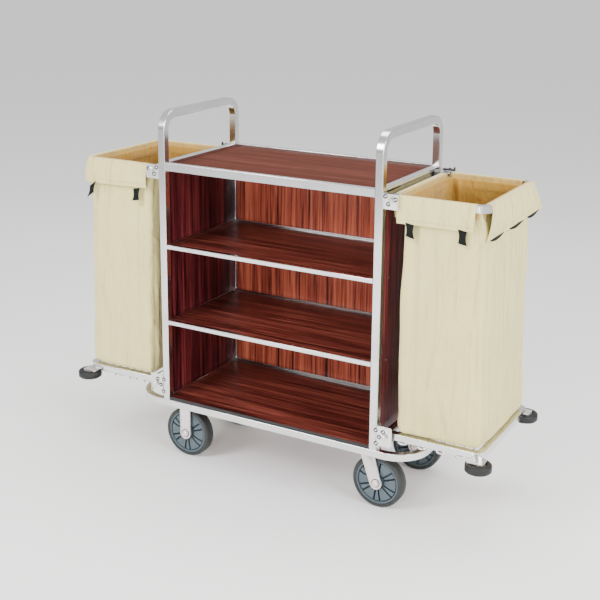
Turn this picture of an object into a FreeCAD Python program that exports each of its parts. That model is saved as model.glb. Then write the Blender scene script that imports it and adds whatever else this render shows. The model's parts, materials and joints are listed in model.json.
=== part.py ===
import FreeCAD, Part
import math
import os
import re
import Sketcher

# Housekeeping cart: X runs along its length, the open side faces -Y, Z is up.
# The origin is on the floor under the middle of the cart. The +X end has the swivel casters.

doc = FreeCAD.newDocument("HousekeepingCart")
sheet = doc.addObject("Spreadsheet::Sheet", "Sizes")

sizes = {
    # body over its uprights
    "body_length": 936, "body_depth": 520, "handle_height": 1404, "handle_bend": 75,
    "tube_size": 30, "tube_wall": 1.5,
    # bumper ring that everything stands on
    "ring_overhang": 152, "ring_bend": 128, "ring_width": 26, "ring_height": 28,
    # shelf rails and boards
    "rail_width": 20, "top_rail_height": 32, "top_rail_top": 1209,
    "upper_shelf_top": 890, "lower_shelf_top": 585,
    "board_thickness": 9, "top_board_recess": 13, "shelf_board_recess": 7, "board_gap": 0.5,
    "ledge_width": 14, "ledge_thickness": 2, "edge_strip_height": 14, "edge_strip_thickness": 2,
    "panel_thickness": 6, "panel_inset": 4, "panel_gap": 0.5,
    "screw_radius": 2, "screw_head_radius": 4.5, "screw_head_height": 1.8,
    # folding frames at both ends
    "bag_frame_extent": 370, "tray_extent": 390, "frame_setback": 17, "frame_bend": 35,
    "frame_tube": 25, "bag_frame_drop": 19, "tray_rise": 73,
    # hinges
    "bracket_plate": 4, "bracket_reach": 58, "upper_bracket_height": 53, "lower_bracket_height": 76,
    "bracket_round": 8, "upper_bracket_shift": 8, "hinge_gap": 17,
    "pin_radius": 4, "pin_fit": 0.05, "pin_head_radius": 8, "pin_head_height": 4, "spacer_radius": 8,
    "side_gap": 0.3, "stop_width": 6, "stop_gap": 0.3,
    # tray wires
    "wire_radius": 3, "wire_spread": 35, "wire_pitch": 73, "wire_start": 92, "wire_overhang": 10,
    # bumper rollers
    "roller_radius": 47, "roller_height": 28, "roller_inset": 10, "roller_outset": 6, "roller_round": 4,
    "roller_drop": 6, "roller_dish_radius": 31, "roller_dish_depth": 4, "roller_recess_radius": 14,
    "roller_recess_depth": 6, "roller_plate": 4, "roller_plate_length": 60, "roller_plate_width": 48,
    "roller_plate_shift": 8, "roller_bolt_radius": 5, "roller_washer_radius": 25,
    "roller_washer_height": 2, "roller_collar_radius": 9,
    # casters
    "wheel_radius": 100, "wheel_width": 48, "tread_depth": 15, "tread_round": 7, "rim_depth": 6,
    "rim_width": 44, "hub_radius": 22, "hub_width": 52, "web_thickness": 8, "rib_width": 5,
    "rib_spread": 17, "rib_depth": 38, "draft": 2, "axle_radius": 6, "axle_fit": 0.05,
    "axle_head_radius": 11, "axle_head_height": 7, "leg_thickness": 4, "leg_gap": 5, "leg_half_width": 24,
    "caster_setback": 85, "fixed_setback": 68, "swivel_setback": 68, "swivel_trail": 45,
    "wheel_clearance": 24.5,
    "mount_plate_length": 120, "mount_plate_thickness": 5, "top_plate_length": 104,
    "top_plate_width": 84, "top_plate_thickness": 4, "plate_bolt_radius": 7, "plate_bolt_height": 4,
    "plate_bolt_inset": 12, "race_radius": 36, "race_height": 8, "swivel_gap": 0.5,
    "crown_radius": 38, "crown_height": 12, "crown_flare": 6, "kingpin_radius": 8, "kingpin_fit": 0.05,
    "kingpin_head_radius": 13, "kingpin_head_height": 4, "kingpin_drop": 2,
    # linen bags
    "bag_wall": 2, "bag_gap": 4, "bag_inner_gap": 14, "bag_lift": 2, "cuff_drop": 86, "cuff_gap": 0.5,
    "corner_notch": 48, "hinge_notch": 45, "cuff_end_notch": 12,
    "shoulder_drop": 132, "shoulder_swell": 8, "foot_inset": 12, "foot_lap": 5,
    "strap_width": 22, "strap_height": 42, "strap_thickness": 1.5, "strap_lap": 4,
}

# worked out from the sizes above
formulas = {
    "ring_length": "body_length + 2 * ring_overhang",
    "caster_height": "2 * wheel_radius + wheel_clearance + crown_height + swivel_gap + race_height"
                     " + top_plate_thickness",
    "ring_top": "caster_height + mount_plate_thickness",
    "bay_x": "body_length / 2 - tube_size",
    "bay_y": "body_depth / 2 - tube_size",
    "panel_x": "body_length / 2 - panel_inset - panel_thickness",
    "panel_y": "body_depth / 2 - panel_inset - panel_thickness",
    "shelf_rail_x": "panel_x - rail_width",
    "shelf_rail_y": "panel_y - rail_width",
    "shelf_x": "min(bay_x; shelf_rail_x)",
    "shelf_rail_height": "shelf_board_recess + board_thickness + ledge_thickness",
    "bag_frame_reach": "body_length / 2 + bag_frame_extent",
    "tray_reach": "body_length / 2 + tray_extent",
    "frame_half_depth": "body_depth / 2 - frame_setback",
    "frame_in_y": "frame_half_depth - frame_tube",
    "pin_x": "body_length / 2 + bracket_plate + hinge_gap + frame_tube / 2",
    "frame_inner_x": "pin_x - frame_tube / 2",
    "bag_frame_top": "top_rail_top - bag_frame_drop",
    "tray_top": "ring_top + tray_rise",
    "tray_low": "tray_top - frame_tube",
    "upper_pin_z": "bag_frame_top - frame_tube / 2",
    "lower_pin_z": "tray_top - frame_tube / 2",
    "ear_y": "body_depth / 2 - bracket_plate",
    "roller_x": "tray_reach - roller_inset",
    "roller_y": "frame_half_depth + roller_outset",
    "roller_top": "tray_low - roller_plate - roller_drop + roller_dish_depth",
    "caster_y": "body_depth / 2 - caster_setback",
    "fixed_x": "body_length / 2 - fixed_setback",
    "swivel_x": "body_length / 2 - swivel_setback",
    "plate_low": "caster_height - top_plate_thickness",
    "crown_low": "plate_low - race_height - swivel_gap - crown_height",
    "fork_half": "wheel_width / 2 + leg_gap + leg_thickness",
    "rim_out": "wheel_radius - tread_depth",
    "bag_in_x": "frame_inner_x + frame_tube + bag_inner_gap",
    "bag_out_x": "bag_frame_reach - frame_tube - bag_gap",
    "bag_y": "frame_in_y - bag_gap",
    "bag_low": "tray_top + bag_lift",
    "cuff_top": "bag_frame_top + cuff_gap",
    "cuff_out_x": "bag_frame_reach + cuff_gap",
    "cuff_out_y": "frame_half_depth + cuff_gap",
    "cuff_in_x": "frame_inner_x - cuff_gap",
    "shoulder_z": "cuff_top - shoulder_drop",
    "shoulder_x": "bag_out_x + shoulder_swell",
    "shoulder_y": "bag_y + shoulder_swell",
    "foot_x": "tray_reach - foot_inset",
    "foot_y": "frame_half_depth - foot_lap",
}

for row, (alias, size) in enumerate(sizes.items(), start=1):
    sheet.set(f"A{row}", alias)
    sheet.set(f"B{row}", str(size))
    sheet.setAlias(f"B{row}", alias)
doc.recompute()


def spell_out(text, prefix):
    """Replace each formula's name by its formula, and put the sheet's name before each size."""
    def swap(word):
        name = word.group()
        if name in formulas:
            return f"({spell_out(formulas[name], prefix)})"
        return prefix + name if name in sizes else name

    return re.sub(r"[a-z_]+", swap, text)


def bind(item, prop, text):
    item.setExpression(prop, spell_out(text, "Sizes."))


def number(text):
    """The value of an expression of sizes, worked out with FreeCAD's own arithmetic."""
    plain = re.sub(r"[a-z_]+", lambda word: str(sizes[word.group()]), spell_out(text, ""))
    return FreeCAD.Units.Quantity(plain).Value


def place(item, corner):
    for axis, text in zip("xyz", corner):
        bind(item, "Placement.Base." + axis, text)
    return item


# ---------------------------------------------------------------- simple solids

def box(name, size, corner):
    item = doc.addObject("Part::Box", name)
    for prop, text in zip(("Length", "Width", "Height"), size):
        bind(item, prop, text)
    return place(item, corner)


def tapered(name, foot, head, low, high):
    """Block between two rectangles, each given as inner x, outer x and half depth."""
    item = doc.addObject("Part::Wedge", name)
    for key, (inner_x, outer_x, half) in (("", foot), ("2", head)):
        bind(item, f"X{key}min", inner_x)
        bind(item, f"X{key}max", outer_x)
        bind(item, f"Z{key}min", f"-({half})")
        bind(item, f"Z{key}max", half)
    bind(item, "Ymin", low)
    bind(item, "Ymax", high)
    upright = FreeCAD.Rotation(FreeCAD.Vector(1, 0, 0), 90)
    item.Placement = FreeCAD.Placement(FreeCAD.Vector(), upright)
    return item


def cylinder(name, radius, height, start, along="z"):
    item = doc.addObject("Part::Cylinder", name)
    bind(item, "Radius", radius)
    bind(item, "Height", height)
    turns = {"x": ((0, 1, 0), 90), "y": ((1, 0, 0), -90), "z": ((0, 0, 1), 0)}
    axis, angle = turns[along]
    item.Placement = FreeCAD.Placement(FreeCAD.Vector(), FreeCAD.Rotation(FreeCAD.Vector(*axis), angle))
    return place(item, start)


def cut(name, base, tool):
    item = doc.addObject("Part::Cut", name)
    item.Base = base
    item.Tool = tool
    return item


def fuse(name, pieces):
    item = doc.addObject("Part::MultiFuse", name)
    item.Shapes = pieces
    return item


def group(name, pieces):
    item = doc.addObject("Part::Compound", name)
    item.Links = pieces
    return item


def mirrored(name, item, normal):
    copy = doc.addObject("Part::Mirroring", name)
    copy.Source = item
    copy.Normal = FreeCAD.Vector(*normal)
    return copy


def front_to_rear(name, item):
    return mirrored(name, item, (0, 1, 0))


def right_to_left(name, item):
    return mirrored(name, item, (1, 0, 0))


def tube(name, size, corner, along):
    """A square tube, open at both ends, running along one axis."""
    inner_size = list(size)
    inner_corner = list(corner)
    for k, axis in enumerate("xyz"):
        if axis != along:
            inner_size[k] = f"{size[k]} - 2 * tube_wall"
            inner_corner[k] = f"{corner[k]} + tube_wall"
    return cut(name, box(name + "_outside", size, corner), box(name + "_bore", inner_size, inner_corner))


# ---------------------------------------------------------------- sketched solids

def new_body(name):
    return doc.addObject("PartDesign::Body", name)


def new_sketch(body, name, role):
    item = body.newObject("Sketcher::SketchObject", name)
    plane = next(feature for feature in body.Origin.OriginFeatures if feature.Role == role)
    item.AttachmentSupport = [(plane, "")]
    item.MapMode = "FlatFace"
    return item


def hold(item, constraint, text):
    """Add one dimension to a sketch and tie it to the sheet."""
    index = item.addConstraint(constraint)
    bind(item, f"Constraints[{index}]", text)


def draw_polygon(item, points):
    """A closed outline whose every corner is tied to the sheet."""
    corners = [FreeCAD.Vector(number(x), number(y), 0) for x, y in points]
    first = item.GeometryCount
    count = len(points)
    for k in range(count):
        item.addGeometry(Part.LineSegment(corners[k], corners[(k + 1) % count]), False)
    for k in range(count):
        item.addConstraint(Sketcher.Constraint("Coincident", first + k, 2, first + (k + 1) % count, 1))
    for k, (x, y) in enumerate(points):
        at_x, at_y = corners[k].x, corners[k].y
        hold(item, Sketcher.Constraint("DistanceX", -1, 1, first + k, 1, at_x), x)
        hold(item, Sketcher.Constraint("DistanceY", -1, 1, first + k, 1, at_y), y)


def draw_rounded(item, wide, deep, bend):
    """A rectangle with round corners, centred on the sketch's origin."""
    w, d, r = number(wide) / 2, number(deep) / 2, number(bend)
    first = item.GeometryCount
    sides = [((r - w, -d), (w - r, -d)), ((w, r - d), (w, d - r)),
             ((w - r, d), (r - w, d)), ((-w, d - r), (-w, r - d))]
    for start, end in sides:
        item.addGeometry(Part.LineSegment(FreeCAD.Vector(*start, 0), FreeCAD.Vector(*end, 0)), False)
    centres = [(w - r, r - d), (w - r, d - r), (r - w, d - r), (r - w, r - d)]
    for k, centre in enumerate(centres):
        circle = Part.Circle(FreeCAD.Vector(*centre, 0), FreeCAD.Vector(0, 0, 1), r)
        begin = math.radians(90 * k - 90)
        item.addGeometry(Part.ArcOfCircle(circle, begin, begin + math.pi / 2), False)
    for k in range(4):
        side, arc, following = first + k, first + 4 + k, first + (k + 1) % 4
        item.addConstraint(Sketcher.Constraint("Tangent", side, 2, arc, 1))
        item.addConstraint(Sketcher.Constraint("Tangent", arc, 2, following, 1))
        item.addConstraint(Sketcher.Constraint("Horizontal" if k % 2 == 0 else "Vertical", side))
    for k in range(1, 4):
        item.addConstraint(Sketcher.Constraint("Equal", first + 4, first + 4 + k))
    item.addConstraint(Sketcher.Constraint("Symmetric", first + 4, 3, first + 6, 3, -1, 1))
    hold(item, Sketcher.Constraint("Radius", first + 4, r), bend)
    hold(item, Sketcher.Constraint("DistanceX", first + 3, 1, first + 1, 1, 2 * w), wide)
    hold(item, Sketcher.Constraint("DistanceY", first, 1, first + 2, 1, 2 * d), deep)


def pad(body, profile, thickness, midplane=False):
    item = body.newObject("PartDesign::Pad", body.Name + "_pad")
    item.Profile = profile
    item.SideType = "Symmetric" if midplane else "One side"
    bind(item, "Length", thickness)
    return item


def padded(name, role, points, thickness, corner, midplane=False):
    body = new_body(name)
    profile = new_sketch(body, name + "_outline", role)
    draw_polygon(profile, points)
    pad(body, profile, thickness, midplane)
    return place(body, corner)


def rounded_plate(name, role, size, bend, thickness, centre):
    body = new_body(name)
    profile = new_sketch(body, name + "_outline", role)
    draw_rounded(profile, *size, bend)
    pad(body, profile, thickness)
    return place(body, centre)


def turned(name, role, axis, points, centre):
    """A solid of revolution about one axis of its sketch."""
    body = new_body(name)
    profile = new_sketch(body, name + "_profile", role)
    draw_polygon(profile, points)
    turn = body.newObject("PartDesign::Revolution", name + "_turn")
    turn.Profile = profile
    turn.ReferenceAxis = (profile, [axis])
    return place(body, centre)


def bent_tube(name, role, size, bend, tube, thick, corner):
    """A closed loop of hollow square tube with round corners, lying in one plane."""
    size = [f"({text})" for text in size]
    bend = f"({bend})"

    def loop(tag, inset, wall, depth, start):
        body = new_body(name + tag)
        profile = new_sketch(body, name + tag + "_outline", role)
        outer = [f"{text} - 2 * {inset}" for text in size]
        inner = [f"{text} - 2 * {wall}" for text in size]
        draw_rounded(profile, *outer, f"{bend} - {inset}")
        draw_rounded(profile, *inner, f"{bend} - {wall}")
        pad(body, profile, depth)
        return place(body, start)

    drift = {"XY_Plane": 2, "XZ_Plane": 1, "YZ_Plane": 0}[role]
    sign = "-" if role == "XZ_Plane" else "+"
    inside = list(corner)
    inside[drift] = f"{corner[drift]} {sign} tube_wall"
    outside_loop = loop("_outside", "0", tube, thick, corner)
    bore_loop = loop("_bore", "tube_wall", f"({tube} - tube_wall)", f"{thick} - 2 * tube_wall", inside)
    return cut(name, outside_loop, bore_loop)


nodes = []


def keep(name, item):
    item.Label = name
    nodes.append(item)
    return item


half_length = "body_length / 2"
half_depth = "body_depth / 2"


# ---------------------------------------------------------------- base ring and end hoops

def make_base():
    ring = bent_tube("ring_loop", "XY_Plane", ("ring_length", "body_depth"), "ring_bend",
                     "ring_width", "ring_height", ("0", "0", "ring_top - ring_height"))
    keep("base_ring", ring)

    plates = []
    for side, reach in (("fixed", "-fixed_x"), ("swivel", "swivel_x")):
        size = ("mount_plate_length", "body_depth - 2 * ring_width", "mount_plate_thickness")
        corner = (f"{reach} - mount_plate_length / 2", "ring_width - body_depth / 2",
                  "ring_top - mount_plate_thickness")
        plates.append(box(side + "_mount_plate", size, corner))
    keep("caster_mount_plates", group("mount_plates", plates))


def make_hoops():
    loop_height = "2 * (handle_height - ring_top)"
    loop = bent_tube("hoop_loop", "YZ_Plane", ("body_depth", loop_height), "handle_bend",
                     "tube_size", "tube_size", ("bay_x", "0", "ring_top"))
    below = box("hoop_below", ("2 * tube_size", "2 * body_depth", "handle_height"),
                (f"{half_length} - 1.5 * tube_size", "-body_depth", "ring_top - handle_height"))
    hoop = cut("hoop", loop, below)
    keep("end_hoop_right", hoop)
    keep("end_hoop_left", right_to_left("hoop_copy", hoop))


# ---------------------------------------------------------------- rails, boards and panels

def rail_frame(name, top, height, end_x, end_width, rear_y, with_front=True):
    """Rails between the uprights: front, rear and two ends, as separate tubes."""
    low = f"{top} - {height}"
    span_x = "2 * bay_x"
    span_y = "2 * bay_y"
    rails = [tube(name + "_rear", (span_x, "rail_width", height), ("-bay_x", rear_y, low), "x")]
    if with_front:
        rails.append(tube(name + "_front", (span_x, "rail_width", height),
                          ("-bay_x", f"-{half_depth}", low), "x"))
    end = tube(name + "_end", (end_width, span_y, height), (end_x, "-bay_y", low), "y")
    rails += [end, right_to_left(name + "_end_copy", end)]
    return group(name + "_set", rails)


def make_rails():
    top = rail_frame("top_rail", "top_rail_top", "top_rail_height", "bay_x", "tube_size",
                     f"({half_depth} - rail_width)")
    keep("top_rails", top)
    for name, level in (("upper_shelf_rail", "upper_shelf_top"), ("lower_shelf_rail", "lower_shelf_top")):
        keep(name + "s", rail_frame(name, level, "shelf_rail_height", "shelf_rail_x", "rail_width",
                                    "shelf_rail_y"))
    deck_top = "(ring_top + shelf_rail_height)"
    keep("deck_rails", rail_frame("deck_rail", deck_top, "shelf_rail_height", "shelf_rail_x",
                                  "rail_width", "shelf_rail_y", with_front=False))


def board(name, top, end_x, front_y, rear_y):
    size = (f"2 * {end_x} - 2 * board_gap", f"{rear_y} - {front_y}", "board_thickness")
    return box(name, size, (f"board_gap - {end_x}", front_y, f"{top} - board_thickness"))


def make_boards():
    front = f"(board_gap + rail_width - {half_depth})"
    top_rear = f"({half_depth} - rail_width - board_gap)"
    shelf_rear = "(shelf_rail_y - board_gap)"
    levels = {
        "top_board": ("(top_rail_top - top_board_recess)", "bay_x", top_rear),
        "upper_shelf_board": ("(upper_shelf_top - shelf_board_recess)", "shelf_x", shelf_rear),
        "lower_shelf_board": ("(lower_shelf_top - shelf_board_recess)", "shelf_x", shelf_rear),
    }
    ledges = []
    for name, (top, end_x, rear) in levels.items():
        keep(name, board(name + "_solid", top, end_x, front, rear))
        low = f"{top} - board_thickness - ledge_thickness"
        long_ledge = (f"2 * {end_x}", "ledge_width", "ledge_thickness")
        front_edge = f"rail_width - {half_depth}"
        rear_edge = f"{rear} + board_gap - ledge_width"
        ledges.append(box(name + "_front_ledge", long_ledge, (f"-{end_x}", front_edge, low)))
        ledges.append(box(name + "_rear_ledge", long_ledge, (f"-{end_x}", rear_edge, low)))
        end_size = ("ledge_width", f"{rear_edge} - ({front_edge}) - ledge_width", "ledge_thickness")
        end_ledge = box(name + "_end_ledge", end_size,
                        (f"{end_x} - ledge_width", f"{front_edge} + ledge_width", low))
        ledges += [end_ledge, right_to_left(name + "_end_ledge_copy", end_ledge)]
    keep("board_ledges", group("ledges", ledges))

    deck_top = "(ring_top + board_thickness)"
    deck_front = f"(edge_strip_thickness - {half_depth})"
    keep("deck_board", board("deck_board_solid", deck_top, "shelf_x", deck_front, shelf_rear))
    strip = box("edge_strip", ("2 * bay_x", "edge_strip_thickness", "edge_strip_height"),
                ("-bay_x", f"-{half_depth}", "ring_top"))
    keep("deck_edge_strip", strip)


def screw(name, start, along, outward):
    """A panel screw: a low head outside and a shank as long as the panel is thick."""
    head_start, shank_start = list(start), list(start)
    k = "xyz".index(along)
    if outward == "+":
        shank_start[k] = f"{start[k]} - panel_thickness"
    else:
        head_start[k] = f"{start[k]} - screw_head_height"
    head = cylinder(name + "_head", "screw_head_radius", "screw_head_height", head_start, along)
    shank = cylinder(name + "_shank", "screw_radius", "panel_thickness", shank_start, along)
    return fuse(name, [head, shank]), shank


def make_panels():
    low = "ring_top + panel_gap"
    high = "(top_rail_top - top_rail_height - ring_top - 2 * panel_gap)"
    side_size = ("panel_thickness", "2 * bay_y - 2 * panel_gap", high)
    side = box("side_panel_blank", side_size, ("panel_x", "panel_gap - bay_y", low))
    back_size = ("2 * bay_x - 2 * panel_gap", "panel_thickness", high)
    back = box("back_panel_blank", back_size, ("panel_gap - bay_x", "panel_y", low))

    heights = {"deck": "(ring_top + shelf_rail_height / 2)",
               "lower": "(lower_shelf_top - shelf_rail_height / 2)",
               "upper": "(upper_shelf_top - shelf_rail_height / 2)"}
    side_screws, side_shanks, back_screws, back_shanks = [], [], [], []
    for level, height in heights.items():
        for k, share in enumerate(("-0.8", "0", "0.8")):
            start = ["panel_x + panel_thickness", f"{share} * bay_y", height]
            item, shank = screw(f"side_{level}_screw_{k}", start, "x", "+")
            side_screws.append(item)
            side_shanks.append(shank)
        for k, share in enumerate(("-0.9", "-0.3", "0.3", "0.9")):
            start = [f"{share} * bay_x", "panel_y + panel_thickness", height]
            item, shank = screw(f"back_{level}_screw_{k}", start, "y", "+")
            back_screws.append(item)
            back_shanks.append(shank)

    side_panel = cut("side_panel", side, fuse("side_holes", side_shanks))
    keep("side_panel_right", side_panel)
    keep("side_panel_left", right_to_left("side_panel_copy", side_panel))
    keep("back_panel", cut("back_panel_solid", back, fuse("back_holes", back_shanks)))
    side_set = group("side_screws", side_screws)
    screws = group("all_screws", [side_set, right_to_left("side_screws_copy", side_set),
                                  group("back_screws", back_screws)])
    keep("panel_screws", screws)


# ---------------------------------------------------------------- folding frames and their hinges


def folding_frame(name, top, reach):
    """Outer U of bent tube, closed by a straight rail that lies on the hinge line."""
    low = f"{top} - frame_tube"
    loop = bent_tube(name + "_loop", "XY_Plane", (f"2 * {reach}", "2 * frame_half_depth"),
                     "frame_bend", "frame_tube", "frame_tube", ("0", "0", low))
    inboard = box(name + "_inboard", (f"frame_inner_x + 2 * {reach}", "4 * frame_half_depth",
                                      "2 * frame_tube"),
                  (f"-2 * {reach}", "-2 * frame_half_depth", f"{low} - frame_tube / 2"))
    bore = cylinder(name + "_pin_bore", "pin_radius + pin_fit", "4 * frame_half_depth",
                    ("pin_x", "-2 * frame_half_depth", f"{top} - frame_tube / 2"), "y")
    arms = cut(name + "_arms", cut(name + "_half", loop, inboard), bore)
    rail = tube(name + "_hinge_rail", ("frame_tube", "2 * frame_in_y", "frame_tube"),
                ("frame_inner_x", "-frame_in_y", low), "y")
    return arms, rail


def make_frames():
    for name, top, reach in (("bag_frame", "bag_frame_top", "bag_frame_reach"),
                             ("tray_frame", "tray_top", "tray_reach")):
        arms, rail = folding_frame(name, top, reach)
        keep(name + "_right", group(name + "_set", [arms, rail]))
        keep(name + "_left", group(name + "_copy", [right_to_left(name + "_arms_copy", arms),
                                                    right_to_left(name + "_rail_copy", rail)]))


def bracket(name, pin_z, height, centre_z):
    """Angle bracket on the upright: a flange, an ear in front and a stop lip under the frame."""
    low = f"({centre_z} - {height} / 2)"
    flange = box(name + "_flange", ("bracket_plate", "tube_size - bracket_plate", height),
                 (half_length, f"-{half_depth} + bracket_plate", low))
    ear = rounded_plate(name + "_ear", "XZ_Plane", ("bracket_reach", height), "bracket_round",
                        "bracket_plate", (f"{half_length} + bracket_reach / 2", "-ear_y", centre_z))
    corner = box(name + "_corner", ("bracket_round", "bracket_plate", height),
                 (half_length, f"-{half_depth}", low))
    lip = box(name + "_stop", ("stop_width", f"{half_depth} - frame_in_y", "bracket_plate"),
              (f"{half_length} + bracket_reach - stop_width", f"-{half_depth}",
               f"{pin_z} - frame_tube / 2 - stop_gap - bracket_plate"))
    blank = fuse(name + "_blank", [flange, ear, corner, lip])
    hole = cylinder(name + "_hole", "pin_radius", "2 * bracket_plate",
                    ("pin_x", f"-{half_depth} - bracket_plate / 2", pin_z), "y")
    return cut(name, blank, hole)


def hinge_pin(name, pin_z):
    head = cylinder(name + "_head", "pin_head_radius", "pin_head_height",
                    ("pin_x", f"-{half_depth} - pin_head_height", pin_z), "y")
    shank = cylinder(name + "_shank", "pin_radius", f"{half_depth} - frame_in_y + bracket_plate",
                     ("pin_x", f"-{half_depth}", pin_z), "y")
    return fuse(name, [head, shank])


def hinge_spacer(name, pin_z):
    length = "ear_y - frame_half_depth - side_gap"
    outside = cylinder(name + "_outside", "spacer_radius", length, ("pin_x", "-ear_y", pin_z), "y")
    bore = cylinder(name + "_bore", "pin_radius", length, ("pin_x", "-ear_y", pin_z), "y")
    return cut(name, outside, bore)


def make_hinges():
    brackets, pins, spacers = [], [], []
    levels = {"upper": ("upper_pin_z", "upper_bracket_height", "(upper_pin_z - upper_bracket_shift)"),
              "lower": ("lower_pin_z", "lower_bracket_height", "lower_pin_z")}
    for level, (pin_z, height, centre_z) in levels.items():
        for store, item in ((brackets, bracket(level + "_bracket", pin_z, height, centre_z)),
                            (pins, hinge_pin(level + "_pin", pin_z)),
                            (spacers, hinge_spacer(level + "_spacer", pin_z))):
            store += [item, front_to_rear(item.Name + "_rear", item)]
    for name, pieces in (("hinge_brackets", brackets), ("hinge_pins", pins)):
        right = group(name + "_set", pieces)
        keep(name + "_right", right)
        keep(name + "_left", right_to_left(name + "_copy", right))
    spacer_set = group("spacer_set", spacers)
    keep("hinge_spacers", group("spacers", [spacer_set, right_to_left("spacer_copy", spacer_set)]))


# ---------------------------------------------------------------- tray wires and bumper rollers

def wire_loop(name, centre_x):
    """A long narrow loop of round rod, welded under the tray's two arms."""
    rod_z = "tray_low - wire_radius"
    run = "(frame_half_depth + wire_overhang - wire_spread / 2 - wire_radius)"
    pieces = []
    for side, sign in (("near", "-"), ("far", "+")):
        pieces.append(cylinder(f"{name}_{side}_rod", "wire_radius", f"2 * {run}",
                               (f"{centre_x} {sign} wire_spread / 2", f"-{run}", rod_z), "y"))
    for end, turn, at in (("rear", 0, run), ("front", 180, f"-{run}")):
        bend = doc.addObject("Part::Torus", f"{name}_{end}_bend")
        bind(bend, "Radius1", "wire_spread / 2")
        bind(bend, "Radius2", "wire_radius")
        bend.Angle3 = 180
        bend.Placement = FreeCAD.Placement(FreeCAD.Vector(), FreeCAD.Rotation(FreeCAD.Vector(0, 0, 1), turn))
        pieces.append(place(bend, (centre_x, at, rod_z)))
    return fuse(name, pieces)


def make_wires():
    loops = [wire_loop(f"wire_loop_{k}", f"(body_length / 2 + wire_start + {k} * wire_pitch)")
             for k in range(4)]
    copies = [right_to_left(item.Name + "_copy", item) for item in loops]
    keep("tray_wires_right", group("wires", loops))
    keep("tray_wires_left", group("wires_copy", copies))


def make_rollers():
    at = ("roller_x", "-roller_y", "0")
    plate = rounded_plate("roller_plate_blank", "XY_Plane", ("roller_plate_length", "roller_plate_width"),
                          "bracket_round", "roller_plate",
                          ("roller_x - roller_plate_shift", "roller_plate_shift / 2 - roller_y",
                           "tray_low - roller_plate"))
    hole = cylinder("roller_plate_hole", "roller_bolt_radius", "3 * roller_plate",
                    (at[0], at[1], "tray_low - 2 * roller_plate"))
    plate = cut("roller_plate_front", plate, hole)

    low = "(roller_top - roller_height)"
    dish = "(roller_top - roller_dish_depth)"
    recess = f"({low} + roller_recess_depth)"
    washer_top = f"{dish} + side_gap + roller_washer_height"
    plate_low_face = "tray_low - roller_plate"
    bolt = turned("roller_bolt", "XZ_Plane", "V_Axis", [
        ("0", f"{low} + side_gap"), ("roller_collar_radius", f"{low} + side_gap"),
        ("roller_collar_radius", f"{recess} - side_gap"), ("roller_bolt_radius", f"{recess} - side_gap"),
        ("roller_bolt_radius", f"{dish} + side_gap"), ("roller_washer_radius", f"{dish} + side_gap"),
        ("roller_washer_radius", washer_top), ("roller_collar_radius", washer_top),
        ("roller_collar_radius", plate_low_face), ("roller_bolt_radius", plate_low_face),
        ("roller_bolt_radius", "tray_low"), ("0", "tray_low")], at)
    bore = "(roller_bolt_radius + pin_fit)"
    roller = turned("roller", "XZ_Plane", "V_Axis", [
        (bore, recess), ("roller_recess_radius", recess), ("roller_recess_radius", low),
        ("roller_radius - roller_round", low), ("roller_radius", f"{low} + roller_round"),
        ("roller_radius", "roller_top - roller_round"), ("roller_radius - roller_round", "roller_top"),
        ("roller_dish_radius", "roller_top"),
        ("roller_dish_radius - roller_dish_depth / 2", dish), (bore, dish)], at)

    for name, item in (("roller_plates", plate), ("roller_bolts", bolt)):
        pair = group(name + "_pair", [item, front_to_rear(name + "_rear", item)])
        keep(name + "_right", pair)
        keep(name + "_left", right_to_left(name + "_copy", pair))
    rear = front_to_rear("roller_rear", roller)
    keep("bumper_roller_front_right", roller)
    keep("bumper_roller_rear_right", rear)
    keep("bumper_roller_front_left", right_to_left("roller_copy", roller))
    keep("bumper_roller_rear_left", right_to_left("roller_rear_copy", rear))


# ---------------------------------------------------------------- casters

def wheel_core(name, centre):
    """Plastic wheel centre: hub, web and rim in one turning, with paired ribs on both faces."""
    bore = "(axle_radius + axle_fit)"
    half = [("hub_width / 2", bore), ("hub_width / 2", "hub_radius"),
            ("web_thickness / 2", "hub_radius + draft"),
            ("web_thickness / 2", "rim_out - rim_depth - draft"),
            ("rim_width / 2", "rim_out - rim_depth"), ("rim_width / 2", "rim_out")]
    other = [(f"-{along}", radius) for along, radius in reversed(half)]
    body = turned(name, "YZ_Plane", "H_Axis", half + other, centre)
    ribs = new_sketch(body, name + "_rib_outline", "XZ_Plane")
    for sign in ("", "-"):
        near = f"{sign}(rib_spread - rib_width) / 2"
        far = f"{sign}(rib_spread + rib_width) / 2"
        start, end = "hub_radius - draft", "rim_out - rim_depth + draft / 2"
        draw_polygon(ribs, [(start, near), (end, near), (end, far), (start, far)])
    rib_pad = pad(body, ribs, "rib_depth", midplane=True)
    pattern = body.newObject("PartDesign::PolarPattern", name + "_ribs")
    pattern.Originals = [rib_pad]
    pattern.Axis = (ribs, ["N_Axis"])
    pattern.Occurrences = 6
    body.Tip = pattern
    return body


def wheel_tread(name, centre):
    shoulder = "(wheel_radius - tread_round / 2)"
    flat = "(wheel_width / 2 - tread_round)"
    side = "wheel_width / 2"
    half = [(side, "rim_out"), (side, "wheel_radius - tread_round"),
            ("wheel_width / 2 - tread_round / 3", shoulder), (flat, "wheel_radius")]
    other = [(f"-({along})", radius) for along, radius in reversed(half)]
    return turned(name, "YZ_Plane", "H_Axis", half + other, centre)


def axle(name, centre_x):
    """Axle bolt through both legs, with its head in front and a nut behind."""
    shank = cylinder(name + "_shank", "axle_radius", "2 * fork_half",
                     (centre_x, "-caster_y - fork_half", "wheel_radius"), "y")
    head = cylinder(name + "_head", "axle_head_radius", "axle_head_height",
                    (centre_x, "-caster_y - fork_half - axle_head_height", "wheel_radius"), "y")
    nut = cylinder(name + "_nut", "axle_head_radius", "axle_head_height",
                   (centre_x, "fork_half - caster_y", "wheel_radius"), "y")
    return fuse(name, [shank, head, nut])


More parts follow.
